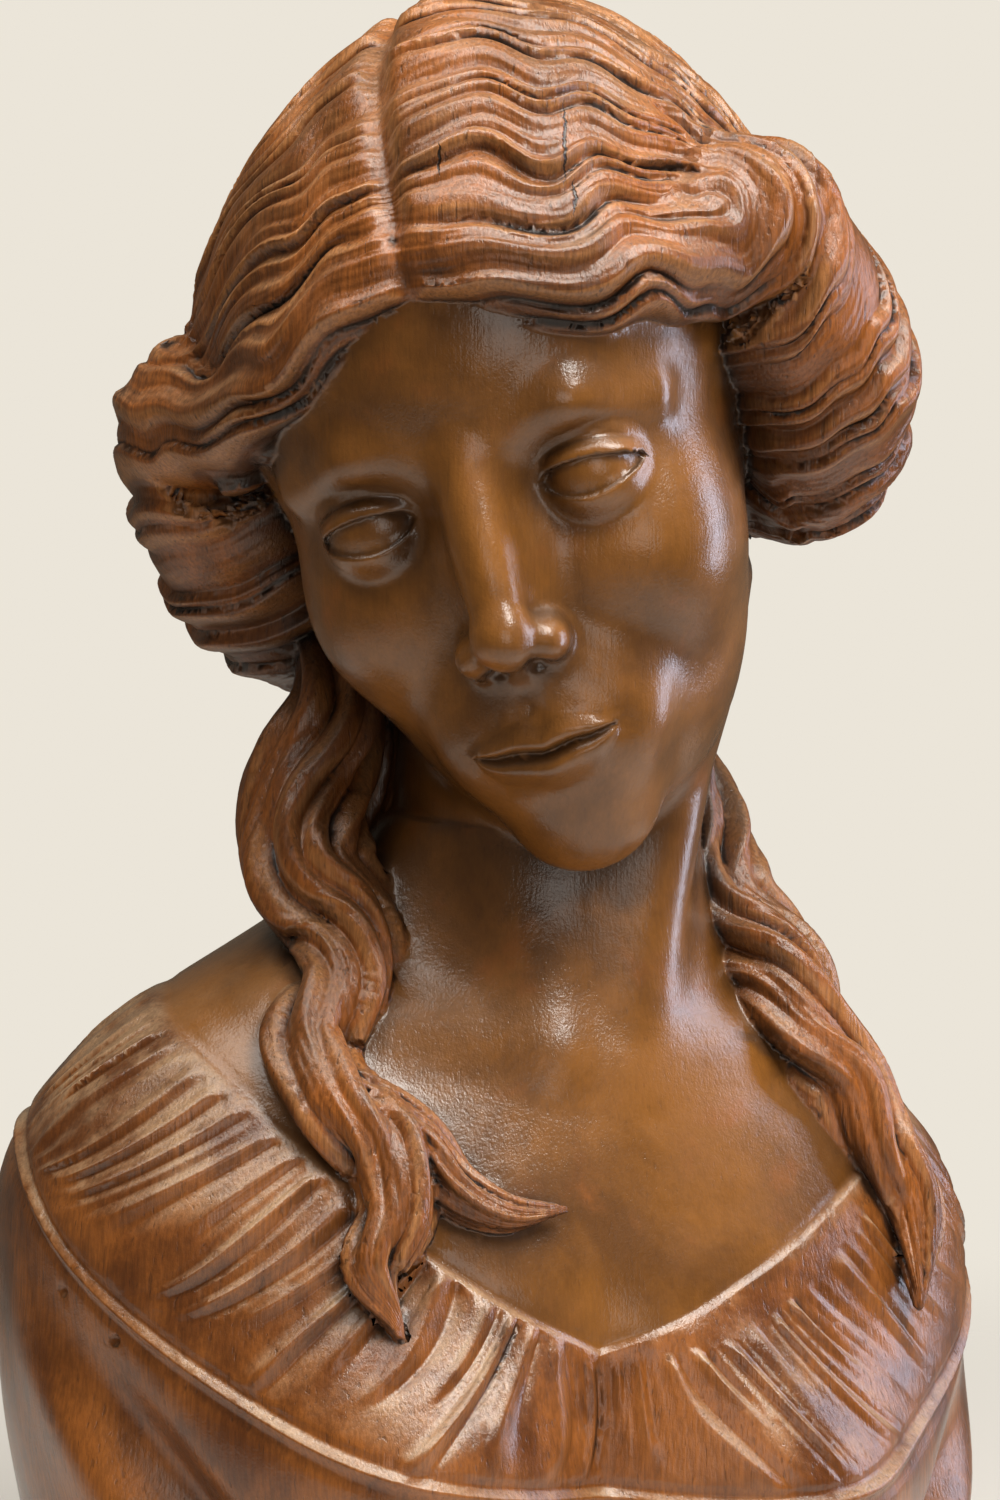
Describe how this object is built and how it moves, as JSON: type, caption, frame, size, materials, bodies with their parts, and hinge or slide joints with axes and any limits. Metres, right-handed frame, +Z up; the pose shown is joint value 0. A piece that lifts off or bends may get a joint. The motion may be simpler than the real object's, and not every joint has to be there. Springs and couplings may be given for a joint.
{
  "type": "ship figurehead",
  "caption": "Carved wooden bust of a woman with parted, rolled hair and a gathered bodice, cut flat below and behind to seat on a ship's stem.",
  "frame": {"origin": "on the torso's axis, in the plane of the flat underside", "axes": "+Z up, from the underside to the crown; she faces -Y; +X is her left; the flat back faces +Y"},
  "size_m": [0.3425, 0.2402, 0.6018],
  "materials": {
    "stained_wood": "dark stain under old glossy varnish, worn lighter on the ridges and dark in the grooves"
  },
  "bodies": {
    "root": {"figurehead_bust": "stained_wood"}
  },
  "joints": []
}
